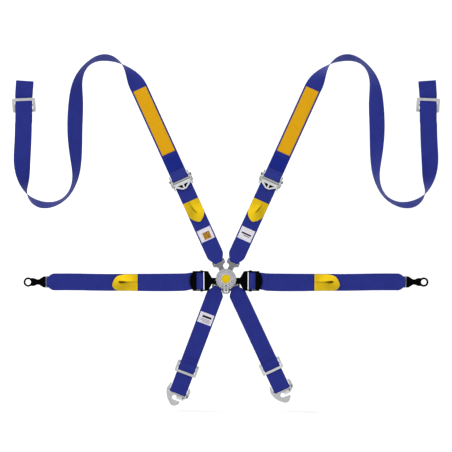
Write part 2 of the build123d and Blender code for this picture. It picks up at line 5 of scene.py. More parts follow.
import bmesh
import bpy
import numpy as np
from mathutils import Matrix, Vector

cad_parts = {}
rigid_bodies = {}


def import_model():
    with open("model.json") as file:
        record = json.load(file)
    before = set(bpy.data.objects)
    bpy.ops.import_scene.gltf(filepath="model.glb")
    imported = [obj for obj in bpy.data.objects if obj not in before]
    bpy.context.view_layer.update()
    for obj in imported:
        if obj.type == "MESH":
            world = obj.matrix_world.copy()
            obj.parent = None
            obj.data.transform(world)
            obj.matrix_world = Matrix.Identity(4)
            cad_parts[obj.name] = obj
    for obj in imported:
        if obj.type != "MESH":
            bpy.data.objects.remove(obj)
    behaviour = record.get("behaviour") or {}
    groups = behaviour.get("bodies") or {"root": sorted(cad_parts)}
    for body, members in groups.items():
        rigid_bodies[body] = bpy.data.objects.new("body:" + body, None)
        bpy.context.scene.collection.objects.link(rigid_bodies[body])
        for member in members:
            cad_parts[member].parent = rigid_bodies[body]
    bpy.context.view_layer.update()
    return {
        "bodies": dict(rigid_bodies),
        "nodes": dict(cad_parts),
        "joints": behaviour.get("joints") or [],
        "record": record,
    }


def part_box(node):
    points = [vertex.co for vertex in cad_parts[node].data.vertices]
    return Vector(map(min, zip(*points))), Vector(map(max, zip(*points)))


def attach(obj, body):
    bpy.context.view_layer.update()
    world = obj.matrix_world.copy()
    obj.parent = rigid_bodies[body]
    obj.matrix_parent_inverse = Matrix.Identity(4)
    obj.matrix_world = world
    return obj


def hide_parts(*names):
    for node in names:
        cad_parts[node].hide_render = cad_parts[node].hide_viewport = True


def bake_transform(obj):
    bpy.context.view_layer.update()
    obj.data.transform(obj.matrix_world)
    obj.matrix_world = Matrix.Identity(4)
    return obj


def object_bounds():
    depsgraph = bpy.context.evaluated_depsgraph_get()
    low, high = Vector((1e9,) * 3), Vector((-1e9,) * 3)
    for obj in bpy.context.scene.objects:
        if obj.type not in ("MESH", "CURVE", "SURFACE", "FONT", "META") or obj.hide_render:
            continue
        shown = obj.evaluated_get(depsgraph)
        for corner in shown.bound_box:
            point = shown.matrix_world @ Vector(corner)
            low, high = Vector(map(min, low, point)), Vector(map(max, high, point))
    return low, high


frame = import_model()
JOINTS = {joint["name"]: joint for joint in frame["joints"]}
MM = 0.001

# Lengths of straps and stitches are in millimetres, those of shaders and the studio in metres.

# the tongues' middle plane, this far in front of the origin; every w is measured from it
TONGUE_MIDDLE = 12.0
# w of the upper shoulder strap, and how far out its end hangs
UPPER_FRONT = 9.0
TAIL_OUT = 605.0

# webbing: half its width, its thickness, points across it and the spacing of points along it
HALF_WEB = 25.5
THICK = 1.4
ACROSS_STEPS = 14
STEP = 3.0
# share of the half width that rounds off into the selvedge, and the panels between the ribs
SELVEDGE = 0.08
PANELS = 5

# one stitch from end to end, as (place along it, share of its radius), and its sides
STITCH_RINGS = ((-0.5, 0.35), (-0.3, 1.0), (0.0, 1.25), (0.3, 1.0), (0.5, 0.35))
STITCH_SIDES = 6

# radius that the dial's painted ring shading is laid out over
RING_SPAN = 32.0


# ------------------------------------------------------------------ materials
def node_material(name):
    material = bpy.data.materials.new(name)
    material.use_nodes = True
    tree = material.node_tree
    return material, tree, tree.nodes["Principled BSDF"]


def add(tree, kind, **values):
    """A node of a kind, with its inputs or its properties set."""
    node = tree.nodes.new(kind)
    for key, value in values.items():
        if key in node.inputs:
            node.inputs[key].default_value = value
        else:
            setattr(node, key, value)
    return node


def maths(tree, operation, *values, clamp=False):
    """A Math node whose inputs are numbers or other nodes' outputs."""
    node = tree.nodes.new("ShaderNodeMath")
    node.operation = operation
    node.use_clamp = clamp
    for slot, value in enumerate(values):
        if isinstance(value, (int, float)):
            node.inputs[slot].default_value = value
        else:
            tree.links.new(value, node.inputs[slot])
    return node.outputs[0]


def mix_colour(tree, factor, first, second, blend="MIX"):
    """A Mix node for colours, whose inputs are numbers, colours or other nodes' outputs."""
    node = tree.nodes.new("ShaderNodeMix")
    node.data_type = "RGBA"
    node.blend_type = blend
    # inputs 6 and 7 and output 2 are the node's colour sockets
    for slot, value in ((0, factor), (6, first), (7, second)):
        if isinstance(value, (int, float, tuple)):
            node.inputs[slot].default_value = value
        else:
            tree.links.new(value, node.inputs[slot])
    return node.outputs[2]


def fabric(
    name, colour, dark, pitch=1.5, sheen=0.0, rough=0.62, relief=0.35, blotch=38.0, contrast=0.9,
):
    """Woven tape: lengthwise warp ribs crossed by slanting picks, in UV millimetres.

    colour and dark are its light and dark parts, mixed by the weave's height as painted light and
    shade and by uneven patches. pitch is the distance between ribs, relief the weave's depth, and
    blotch and contrast the scale and strength of the patches.
    """
    material, tree, shader = node_material(name)
    link = tree.links.new
    uv = add(tree, "ShaderNodeUVMap", uv_map="weave")
    split = add(tree, "ShaderNodeSeparateXYZ")
    link(uv.outputs[0], split.inputs[0])
    across, along = split.outputs[0], split.outputs[1]
    turn = 2 * math.pi / pitch
    warp = maths(tree, "SINE", maths(tree, "MULTIPLY", across, turn))
    # the picks cross the ribs at a slant
    pick_along = maths(tree, "MULTIPLY", along, turn * 0.8)
    pick_across = maths(tree, "MULTIPLY", across, turn * 0.5)
    pick = maths(tree, "SINE", maths(tree, "ADD", pick_along, pick_across))
    half_warp = maths(tree, "MULTIPLY", warp, 0.5)
    height = maths(tree, "ADD", half_warp, maths(tree, "MULTIPLY", pick, 0.5))
    patches = add(tree, "ShaderNodeTexNoise", Scale=blotch, Detail=5.0)
    coords = add(tree, "ShaderNodeTexCoord")
    link(coords.outputs["Object"], patches.inputs["Vector"])
    fine = add(tree, "ShaderNodeTexNoise", Scale=900.0, Detail=2.0)
    link(coords.outputs["Object"], fine.inputs["Vector"])
    # painted light and shade: the weave's height makes its ridges lighter and its grooves darker
    shade = maths(tree, "MULTIPLY_ADD", height, 0.16, 0.5)
    uneven = maths(tree, "MULTIPLY", maths(tree, "SUBTRACT", patches.outputs[0], 0.5), contrast)
    weave = mix_colour(tree, maths(tree, "ADD", shade, uneven, clamp=True), dark, colour)
    tone = add(tree, "ShaderNodeAttribute", attribute_name="tone")
    toned = mix_colour(tree, 1.0, weave, tone.outputs["Color"], "MULTIPLY")
    link(toned, shader.inputs["Base Color"])
    bump = add(tree, "ShaderNodeBump", Strength=relief, Distance=0.0003)
    fuzz = maths(tree, "MULTIPLY", fine.outputs[0], 0.6)
    link(maths(tree, "ADD", height, fuzz), bump.inputs["Height"])
    link(bump.outputs[0], shader.inputs["Normal"])
    roughness = maths(tree, "MULTIPLY_ADD", patches.outputs[0], 0.2, rough - 0.1)
    link(roughness, shader.inputs["Roughness"])
    shader.inputs["Sheen Weight"].default_value = sheen
    shader.inputs["Sheen Roughness"].default_value = 0.4
    shader.inputs["Specular IOR Level"].default_value = 0.12
    return material


def darkened(colour, share):
    """A share of a colour's light, opaque."""
    return tuple(channel * share for channel in colour[:3]) + (1,)


def metal(name, colour, rough, metallic, wear, worn=0.5, coat=0.0, ring_shading=()):
    """Plated or coated metal with rounded, slightly worn edges, a fine grain and, where given,
    painted light and shade for the relief of a dial's turned ring pattern.

    wear is the colour of its worn edges and worn their strength. The last argument holds
    (radius, level) pairs that the colour is multiplied by: lighter and darker bands, painted light
    and shade for that relief.
    """
    material, tree, shader = node_material(name)
    link = tree.links.new
    coords = add(tree, "ShaderNodeTexCoord")
    blotch = add(tree, "ShaderNodeTexNoise", Scale=120.0, Detail=6.0)
    link(coords.outputs["Object"], blotch.inputs["Vector"])
    scratch = add(tree, "ShaderNodeTexNoise", Scale=1400.0, Detail=3.0)
    link(coords.outputs["Object"], scratch.inputs["Vector"])
    # edges are rounded by a bevel, and wear where the rounded face turns away from the flat one
    edge = add(tree, "ShaderNodeBevel", samples=6, Radius=0.0009)
    geometry = add(tree, "ShaderNodeNewGeometry")
    facing = add(tree, "ShaderNodeVectorMath", operation="DOT_PRODUCT")
    link(edge.outputs[0], facing.inputs[0])
    link(geometry.outputs["Normal"], facing.inputs[1])
    turned = maths(tree, "MULTIPLY", maths(tree, "SUBTRACT", 1.0, facing.outputs["Value"]), 4.0)
    patchy = maths(tree, "MULTIPLY", blotch.outputs[0], 2 * worn)
    bare = maths(tree, "MULTIPLY", turned, patchy, clamp=True)
    base = mix_colour(tree, blotch.outputs[0], darkened(colour, 0.76), colour)
    # painted light and shade: lighter and darker bands by radius stand in for the relief of a turned ring
    # pattern
    if ring_shading:
        split = add(tree, "ShaderNodeSeparateXYZ")
        link(coords.outputs["Object"], split.inputs[0])
        squares = []
        for axis in (0, 2):
            distance = maths(tree, "ABSOLUTE", split.outputs[axis])
            squares.append(maths(tree, "POWER", distance, 2.0))
        radius = maths(tree, "SQRT", maths(tree, "ADD", *squares))
        ramp = add(tree, "ShaderNodeValToRGB")
        link(maths(tree, "MULTIPLY", radius, 1 / (RING_SPAN * MM)), ramp.inputs[0])
        stops = ramp.color_ramp.elements
        while len(stops) < len(ring_shading):
            stops.new(0.5)
        for stop, (place, level) in zip(stops, ring_shading):
            stop.position = place / RING_SPAN
            stop.color = (level, level, level * 1.03, 1)
        base = mix_colour(tree, 1.0, base, ramp.outputs[0], "MULTIPLY")
    # painted shade: ambient occlusion darkens the colour in corners and gaps
    shade = add(tree, "ShaderNodeAmbientOcclusion", samples=8, Distance=0.004)
    depth = maths(tree, "POWER", shade.outputs["AO"], 1.6)
    base = mix_colour(tree, depth, darkened(colour, 0.12), base)
    link(mix_colour(tree, bare, base, wear), shader.inputs["Base Color"])
    bump = add(tree, "ShaderNodeBump", Strength=0.12, Distance=0.0002)
    link(scratch.outputs[0], bump.inputs["Height"])
    link(edge.outputs[0], bump.inputs["Normal"])
    link(bump.outputs[0], shader.inputs["Normal"])
    roughness = maths(tree, "MULTIPLY_ADD", blotch.outputs[0], 0.25, rough - 0.12)
    link(roughness, shader.inputs["Roughness"])
    shader.inputs["Metallic"].default_value = metallic
    shader.inputs["Coat Weight"].default_value = coat
    # paint and enamel reflect less than bare metal
    if not metallic:
        shader.inputs["Specular IOR Level"].default_value = 0.02
    return material


BLUE = fabric("webbing_blue", (0.019, 0.029, 0.235, 1), (0.012, 0.018, 0.175, 1), sheen=0.03)
YELLOW = fabric("webbing_yellow", (0.90, 0.63, 0.006, 1), (0.66, 0.43, 0.003, 1))
AMBER = fabric("patch_amber", (0.72, 0.37, 0.002, 1), (0.62, 0.30, 0.001, 1), pitch=1.0, relief=0.2)
WHITE = fabric("label_cloth", (0.74, 0.71, 0.77, 1), (0.66, 0.63, 0.69, 1), pitch=0.7, relief=0.12)
INK = fabric("label_ink", (0.02, 0.02, 0.022, 1), (0.012, 0.012, 0.014, 1), pitch=0.7, relief=0.1)
FOIL = fabric(
    "label_foil", (0.66, 0.34, 0.03, 1), (0.10, 0.025, 0.01, 1),
    pitch=0.9, relief=0.2, rough=0.4, blotch=300.0, contrast=3.5,
)
THREAD = fabric("thread_blue", (0.024, 0.035, 0.26, 1), (0.015, 0.022, 0.19, 1), pitch=0.5, sheen=0.05)
THREAD_PALE = fabric("thread_pale", (0.07, 0.085, 0.36, 1), (0.04, 0.05, 0.27, 1), pitch=0.5, sheen=0.05)
THREAD_GOLD = fabric("thread_gold", (0.76, 0.52, 0.01, 1), (0.55, 0.34, 0.005, 1), pitch=0.5)

# painted light and shade of the dial's turned ring pattern: a level by radius
DIAL_RING_SHADING = (
    (0.0, 1.0), (15.0, 1.4), (17.0, 1.3), (17.6, 0.5), (18.4, 0.5), (19.0, 1.35),
    (23.4, 1.35), (24.0, 0.4), (24.8, 0.4), (25.4, 1.1), (28.5, 1.0), (31.0, 0.7),
)
CHROME = metal("plated_silver", (0.56, 0.56, 0.55, 1), 0.52, 0.35, wear=(0.85, 0.85, 0.84, 1), worn=0.8)
CLAW = metal("brushed_claw", (0.56, 0.56, 0.555, 1), 0.5, 0.35, wear=(0.75, 0.75, 0.75, 1))
GREY = metal("grey_pin", (0.16, 0.16, 0.165, 1), 0.4, 0.7, wear=(0.5, 0.5, 0.5, 1))
STEEL = metal("zinc_steel", (0.26, 0.26, 0.265, 1), 0.42, 0.6, wear=(0.6, 0.6, 0.6, 1))
DIAL = metal(
    "satin_dial", (0.60, 0.60, 0.62, 1), 0.42, 0.5,
    wear=(0.95, 0.95, 0.95, 1), worn=0.9, ring_shading=DIAL_RING_SHADING,
)
TAB = metal("bright_tab", (0.80, 0.80, 0.80, 1), 0.35, 0.4, wear=(0.95, 0.95, 0.95, 1))
BLACK = metal("black_coat", (0.0012, 0.0012, 0.0014, 1), 0.55, 0.0, wear=(0.02, 0.02, 0.022, 1), worn=0.2)
BADGE = metal("badge_enamel", (0.80, 0.55, 0.004, 1), 0.3, 0.0, wear=(0.9, 0.7, 0.1, 1), coat=0.1)


# ------------------------------------------------------------------ strap space
class Space:
    """A strap's own directions: t along it, x across it, w towards the viewer, in millimetres."""

    def __init__(self, origin, along):
        self.origin = Vector(origin)
        self.along = Vector(along).normalized()
        self.across = Vector((self.along.z, 0, -self.along.x))
        self.front = Vector((0, -1, 0))

    def at(self, t, x=0.0, w=0.0):
        return self.origin + (self.along * t + self.across * x + self.front * w) * MM


def arc(t, w, radius, start, end):
    """Points round a bar, between two angles: 0 is along the strap and 90 towards the viewer."""
    steps = 14
    for step in range(steps + 1):
        angle = math.radians(start + (end - start) * step / steps)
        yield (t + radius * math.cos(angle), w + radius * math.sin(angle))


def resample(points):
    """The same path with a point about every STEP."""
    points = np.array(points, float)
    lengths = np.hypot(*np.diff(points, axis=0).T)
    run = np.concatenate([[0], np.cumsum(lengths)])
    distinct = np.concatenate([[True], lengths > 1e-6])
    count = max(2, int(run[-1] / STEP) + 1)
    even = np.linspace(0, run[-1], count)
    # the corners of short arcs are kept, so that tight turns stay round
    corners = run[np.concatenate([[False], lengths < STEP])]
    at = np.unique(np.round(np.concatenate([even, corners]), 3))
    smallest_gap = 0.25
    at = at[np.concatenate([[True], np.diff(at) > smallest_gap])]
    run, points = run[distinct], points[distinct]
    return np.stack([np.interp(at, run, points[:, 0]), np.interp(at, run, points[:, 1])], 1)


def soften(points, rounds):
    """Rounds off a path's corners."""
    points = np.array(points, float)
    for _ in range(rounds):
        inner = (points[:-2] + 2 * points[1:-1] + points[2:]) / 4
        points = np.concatenate([points[:1], inner, points[-1:]])
    return points


def side_frames(space, points, half=HALF_WEB, shift=0.0):
    """Frames of a strip drawn edge-on as (t, w) points: centre, across, normal, half width, bow.

    half is its half width and shift its place across; both may be functions of t.
    """
    points = np.array(points, float)
    slope = np.gradient(points, axis=0)
    frames = []
    for (t, w), (dt, dw) in zip(points, slope):
        size = math.hypot(dt, dw) or 1.0
        normal = (space.along * (-dw) + space.front * dt) / size
        wide = half(t) if callable(half) else half
        aside = shift(t) if callable(shift) else shift
        frames.append((space.at(t, aside, w), space.across, normal, wide, 0.0))
    return frames


def link_piece(name, mesh, material):
    """Puts a closed mesh in the scene, with its faces turned outward."""
    mesh.materials.append(material)
    piece = bpy.data.objects.new(name, mesh)
    bpy.context.collection.objects.link(piece)
    bm = bmesh.new()
    bm.from_mesh(mesh)
    bmesh.ops.recalc_face_normals(bm, faces=bm.faces)
    bm.to_mesh(mesh)
    bm.free()
    return piece


def strip(name, frames, material, thick=THICK, tone=None, ribs=0.05):
    """A closed tape with rounded selvedges and shallow lengthwise panels.

    tone gives a colour to multiply the material's by, from a centre and a place across.
    """
    # places across the tape from -1 to 1, closer together near the selvedges
    ring = []
    for step in range(ACROSS_STEPS + 1):
        s = -math.cos(math.pi * step / ACROSS_STEPS)
        ring.append(0.35 * s + 0.65 * (2 * step / ACROSS_STEPS - 1))
    count = len(ring)
    vertices, weave_places, run = [], [], 0.0
    last = None
    for centre, across, normal, half, bow in frames:
        run += (centre - last).length / MM if last else 0.0
        last = centre
        for face in (1, -1):
            for s in (ring if face == 1 else ring[::-1]):
                edge = max(0.0, (abs(s) - (1 - SELVEDGE)) / SELVEDGE)
                rib = ribs * math.cos(s * PANELS * math.pi) ** 2
                lift = thick / 2 * math.sqrt(max(0.04, 1 - edge ** 2)) - rib
                offset = normal * (face * lift + bow * (1 - s * s))
                vertices.append(centre + (across * (s * half) + offset) * MM)
                weave_places.append((s * half, run))
    size = 2 * count
    faces = []
    for row in range(len(frames) - 1):
        a, b = row * size, (row + 1) * size
        for k in range(size):
            n = (k + 1) % size
            faces.append((a + k, a + n, b + n, b + k))
    faces.append(tuple(range(size))[::-1])
    faces.append(tuple((len(frames) - 1) * size + k for k in range(size)))
    mesh = bpy.data.meshes.new(name)
    mesh.from_pydata(vertices, [], faces)
    layer = mesh.uv_layers.new(name="weave")
    for loop in mesh.loops:
        layer.data[loop.index].uv = weave_places[loop.vertex_index]
    tint = mesh.color_attributes.new("tone", "FLOAT_COLOR", "POINT")
    for row, (centre, *_rest) in enumerate(frames):
        for k in range(size):
            s = ring[k] if k < count else ring[size - 1 - k]
            shade = tone(centre, s) if tone else (1.0, 1.0, 1.0)
            tint.data[row * size + k].color = (*shade, 1)
    for polygon in mesh.polygons:
        polygon.use_smooth = len(polygon.vertices) == 4
    mesh.validate()
    return link_piece(name, mesh, material)


def stitches(name, rows, material, body, radius=0.34, length=2.5, pitch=3.3):
    """Rows of thread that ride on a body: each row is (start, end, surface normal) in metres."""
    vertices, faces = [], []
    for start, end, normal in rows:
        way = end - start
        distance = way.length / MM
        way = way.normalized()
        sideways = way.cross(normal).normalized()
        number = max(1, int(distance / pitch))
        for index in range(number):
            middle = start + way * ((index + 0.5) * distance / number * MM)
            base = len(vertices)
            for place, size in STITCH_RINGS:
                for k in range(STITCH_SIDES):
                    angle = k * math.pi * 2 / STITCH_SIDES
                    out = sideways * math.cos(angle) * 1.15 + normal * math.sin(angle)
                    vertices.append(middle + (way * (place * length) + out * (radius * size)) * MM)
            for ring in range(len(STITCH_RINGS) - 1):
                a = base + ring * STITCH_SIDES
                b = a + STITCH_SIDES
                for k in range(STITCH_SIDES):
                    n = (k + 1) % STITCH_SIDES
                    faces.append((a + k, a + n, b + n, b + k))
            faces.append(tuple(base + k for k in range(STITCH_SIDES))[::-1])
            last = base + (len(STITCH_RINGS) - 1) * STITCH_SIDES
            faces.append(tuple(last + k for k in range(STITCH_SIDES)))
    mesh = bpy.data.meshes.new(name)
    mesh.from_pydata(vertices, [], faces)
    layer = mesh.uv_layers.new(name="weave")
    for loop in mesh.loops:
        co = mesh.vertices[loop.vertex_index].co
        layer.data[loop.index].uv = (co.x / MM, (co.z + co.y) / MM)
    tint = mesh.color_attributes.new("tone", "FLOAT_COLOR", "POINT")
    for value in tint.data:
        value.color = (1, 1, 1, 1)
    for polygon in mesh.polygons:
        polygon.use_smooth = True
    piece = link_piece(name, mesh, material)
    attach(piece, body)
    return piece


def box_cross(space, low, high, half, w):
    """The usual box with a cross sewn where webbing is doubled: four sides, then two diagonals."""
    places = ((low, -half), (high, -half), (high, half), (low, half))
    corners = [space.at(t, x, w) for t, x in places]
    rows = [(corners[k], corners[(k + 1) % 4], space.front) for k in range(4)]
    rows.append((corners[0], corners[2], space.front))
    rows.append((corners[1], corners[3], space.front))
    return rows


def cross_rows(space, places, half, w):
    """Rows sewn straight across the webbing."""
    return [(space.at(t, -half, w), space.at(t, half, w), space.front) for t in places]


def narrowing(nose, shoulder, narrow, roundness=1.0):
    """Half width of a strap pinched at a bar, by t: narrow at the nose, full at the shoulder."""
    def half(t):
        share = min(1.0, max(0.0, (t - nose) / (shoulder - nose)))
        straight = share * share * (3 - 2 * share) * 0.5 + share * 0.5
        rounded = math.sin(share * math.pi / 2)
        return narrow + (HALF_WEB - narrow) * (rounded * roundness + straight * (1 - roundness))
    return half


# ------------------------------------------------------------------ soft pieces
# sections of a finger loop, and how far its inner lip stands off
LOOP_SECTIONS = 72
LIP_RISE = 9.0


def loop_curve(points, mirror):
    """An even curve near (share of reach, x) points, x mirrored for the other side."""
    points = np.array(points, float) * (1, mirror)
    for _ in range(3):
        cut = np.empty((2 * len(points) - 2, 2))
        cut[0::2] = 0.75 * points[:-1] + 0.25 * points[1:]
        cut[1::2] = 0.25 * points[:-1] + 0.75 * points[1:]
        points = np.concatenate([points[:1], cut, points[-1:]])
    # shares of the reach count as millimetres of a loop about this long
    usual_reach = 70
    lengths = np.hypot(np.diff(points[:, 0]) * usual_reach, np.diff(points[:, 1]))
    run = np.concatenate([[0], np.cumsum(lengths)])
    at = np.linspace(0, run[-1], LOOP_SECTIONS)
    return np.stack([np.interp(at, run, points[:, 0]), np.interp(at, run, points[:, 1])], 1)


# the finger loops, as (share of the reach, x): outer edge and the edge round the opening
SHOULDER_LOOP = (
    (
        (0, -25), (0.45, -25), (0.64, -24.8), (0.79, -19), (0.92, -11), (1.04, 0),
        (0.93, 11), (0.82, 19.5), (0.67, 24.8), (0.45, 25), (0, 25),
    ),
    (
        (0, -6.4), (0.1, -6.0), (0.22, -5.2), (0.34, -4.0), (0.46, -2.4), (0.56, 0.2), (0.61, 1.8),
        (0.55, 2.2), (0.45, 0.2), (0.34, -2.0), (0.22, -4.2), (0.1, -5.8), (0, -6.2),
    ),
)
LAP_LOOP = (
    (
        (0, -25), (0.5, -25), (0.80, -25), (0.97, -20), (1.08, -8), (1.0, 6),
        (0.92, 16), (0.80, 21), (0.55, 25), (0.3, 25), (0, 25),
    ),
    (
        (0, 1.5), (0.40, 1.4), (0.50, 0.2), (0.60, -2.0), (0.70, -2.6), (0.78, 0.6),
        (0.79, 4.4), (0.70, 5.6), (0.58, 4.4), (0.46, 2.6), (0.34, 2.0), (0, 1.9),
    ),
)


def pull_loop(name, space, sewn, tip, rear, body, node, shape, mirror):
    """Yellow webbing folded into a finger loop that stands open near its tip.

    sewn and tip are the t of its two ends, rear the w of the webbing that it is sewn to, body
    what it rides on, node the CAD piece that it stands for, and shape its two edges.
    """
    way = 1 if tip > sewn else -1
    reach = abs(tip - sewn)
    outer, inner = (loop_curve(points, mirror) for points in shape)
    frames = []
    for (share, x), (share_in, x_in) in zip(outer, inner):
        rise = min(1.0, max(0.0, (share_in - 0.12) / 0.5))
        rise = rise * rise * (3 - 2 * rise)
        edge = space.at(sewn + way * reach * share, x, rear + 2.1 + 1.4 * rise)
        lip = space.at(sewn + way * reach * share_in, x_in, rear + 2.2 + LIP_RISE * rise)
        spread = edge - lip
        frames.append([(edge + lip) / 2, spread.normalized(), None, spread.length / 2 / MM, 1.6 * rise])
    centres = [frame[0] for frame in frames]
    for index, frame in enumerate(frames):
        run = centres[min(index + 1, len(centres) - 1)] - centres[max(index - 1, 0)]
        normal = run.cross(frame[1]).normalized()
        frame[2] = normal if normal.dot(space.front) > 0 else -normal

    # painted light and shade: lighter on one side towards the tip, darker along the edge of the opening
    def tone(centre, s):
        offset = centre - space.origin
        side_share = offset.dot(space.across) / MM * mirror / 25
        share = abs(offset.dot(space.along) / MM - sewn) / reach
        shade = 0.92 + 0.24 * min(1.0, max(-1.0, side_share * 2)) * min(1.0, share * 2)
        if s < -0.75:
            shade *= 0.80 + 0.20 * (1 - (-0.75 - s) / 0.25)
        return (shade, shade * 0.98, shade)

    piece = strip(name, frames, YELLOW, tone=tone)
    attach(piece, body)
    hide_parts(node)

    def lining_half(t):
        return 22.5 - 11 * (abs(t - sewn) / reach) ** 3

    # painted shade: the lining inside the loop is darkened towards brown
    def lining_shade(centre, s):
        return (0.62, 0.52, 0.40)

    points = [(sewn + way * reach * share, rear + 0.7) for share in np.linspace(0.02, 0.9, 14)]
    lining = strip(
        name + "_lining", side_frames(space, points, lining_half), YELLOW, thick=1.0, tone=lining_shade,
    )
    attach(lining, body)
    rows = cross_rows(space, [sewn + way * d for d in (2, 5, 8, 11, 14)], 24, rear + 3.0)
    stitches(name + "_stitches", rows, THREAD_GOLD, body)


def cloth_label(name, space, middle, wide, long, rear, body, node, marks):
    """A sewn-on label. marks holds (t, x, half length, half width, material) from its middle."""
    sections = 8
    points = [(middle - long / 2 + long * k / sections, rear + 0.3) for k in range(sections + 1)]
    piece = strip(name, side_frames(space, points, wide / 2), WHITE, thick=0.6, ribs=0.0)
    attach(piece, body)
    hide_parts(node)
    margin, w = 1.4, rear + 0.7
    low, high = middle - long / 2 + margin, middle + long / 2 - margin
    border = box_cross(space, low, high, wide / 2 - margin, w)[:4]
    sewn = stitches(name + "_stitches", border, WHITE, body, radius=0.2, length=1.8, pitch=2.4)
    for index, (t, x, half_t, half_x, material) in enumerate(marks):
        row = [(middle + t - half_t, w), (middle + t, w), (middle + t + half_t, w)]
        frames = side_frames(space, row, half_x, shift=x)
        mark = strip(f"{name}_mark_{index}", frames, material, thick=0.2, ribs=0.0)
        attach(mark, body)


# the tail's path: distance outward, height, twist in degrees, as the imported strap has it
TAIL = (
    (262, 574, 0), (284, 612, 50), (313, 644, 90), (361, 662, 110), (409, 646, 100),
    (438, 606, 112), (449, 530, 145), (452, 450, 150), (449, 362, 130), (453, 292, 105),
    (480, 243, 98), (523, 222, 108), (565, 226, 114), (597, 257, 90), (605, 290, 57),
    (610, 345, 20), (608, 400, 0), (606, 465, 0),
)


def natural_spline(points, count):
    """count places on a cubic through the points, parametrised by distance, with free ends."""
    points = np.array(points, float)
    spacing = np.linalg.norm(np.diff(points[:, :2], axis=0), axis=1)
    at = np.concatenate([[0], np.cumsum(spacing)])
    size = len(points)
    system = np.zeros((size, size))
    right = np.zeros((size, points.shape[1]))
    system[0, 0] = system[-1, -1] = 1
    for i in range(1, size - 1):
        h0, h1 = at[i] - at[i - 1], at[i + 1] - at[i]
        system[i, i - 1], system[i, i], system[i, i + 1] = h0, 2 * (h0 + h1), h1
        right[i] = 6 * ((points[i + 1] - points[i]) / h1 - (points[i] - points[i - 1]) / h0)
    second = np.linalg.solve(system, right)
    result = []
    for value in np.linspace(0, at[-1], count):
        i = min(size - 2, int(np.searchsorted(at, value, "right")) - 1)
        h = at[i + 1] - at[i]
        a, b = (at[i + 1] - value) / h, (value - at[i]) / h
        curve = ((a ** 3 - a) * second[i] + (b ** 3 - b) * second[i + 1]) * h * h / 6
        result.append(a * points[i] + b * points[i + 1] + curve)
    return np.array(result)


def webbing(name, frames, tone=None):
    """A strip of blue webbing along the given frames."""
    piece = strip(name, frames, BLUE, tone=tone)
    return piece


def shoulder(side, name):
    """One shoulder's soft pieces; side is -1 for the left and 1 for the right."""
    axis = Vector(JOINTS[f"{name}_shoulder_tongue_release"]["axis"])
    space = Space((0, -TONGUE_MIDDLE * MM, 0), axis)
    shoulder_lower(side, name, space)
    shoulder_upper(side, name, space)
    lever_window_shadows(side, name, space)
    shoulder_pad(name, space)


def shoulder_lower(side, name, space):
    """The strap from the tongue, its free layer, the finger loop and the label."""
    strap, adjuster = f"{name}_shoulder_strap", f"{name}_shoulder_adjuster"
    loop_body = f"{name}_shoulder_pull_loop"
    bar = (Vector(JOINTS[f"{name}_shoulder_strap_swing"]["pos_m"]) - space.origin).length / MM

    # sewn round the tongue's bar, then up to the locking bar
    around_bar, lock, lock_front, turn = 4.4, 331.0, 3.7, 3.72
    points = [(103, -0.8), (84, -0.8), (66, -2.6), *arc(bar, 0, around_bar, 260, 100)]
    points += [(66, 2.6), (84, 0.8), (104, 0.75), (112, 0.1), (300, 0)]
    pinch = narrowing(bar - 1, 82, 13.3)
    piece = webbing(f"{name}_shoulder_lower_webbing", side_frames(space, resample(points), pinch))
    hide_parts(f"{name}_shoulder_lower_strap")
    space.at(182)
    space.at(300)
    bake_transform(piece)
    seam = box_cross(space, 84, 103, 21, 1.5)
    stitches(f"{name}_shoulder_lower_stitches", seam, THREAD, strap)

    # round the locking bar and back down in front, as far as the finger loop
    front = lock_front + turn
    points = [(300, 0.0), (lock - 5, 0.0), *arc(lock, lock_front, turn, -90, 90)]
    points += [(322, front - 2.2), (300, 3.4)]
    piece = webbing(f"{name}_shoulder_turn_webbing", side_frames(space, resample(points)))
    space.at(301)
    space.at(325)
    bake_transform(piece)
    points = [(300, 3.4), (288, 2.6), (238, 2.6)]
    piece = webbing(f"{name}_shoulder_free_webbing", side_frames(space, resample(points)))
    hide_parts(f"{name}_shoulder_free_end")
    space.at(300)
    space.at(262)
    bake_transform(piece)
    pull_loop(
        f"{name}_shoulder_loop", space, 256, 189, 3.4, loop_body, f"{name}_shoulder_pull_loop",
        SHOULDER_LOOP, -side,
    )

    # a mottled square on the left label, two plain bars on the right one
    if side < 0:
        marks = [(-4, 2, 11, 11, FOIL)]
    else:
        marks = [(1, 0, 2.4, 15, INK), (-5, 3, 1.0, 9, INK)]
    cloth_label(
        f"{name}_shoulder_tag", space, 146, 43, 38, 0.75, strap, f"{name}_shoulder_label", marks,
    )


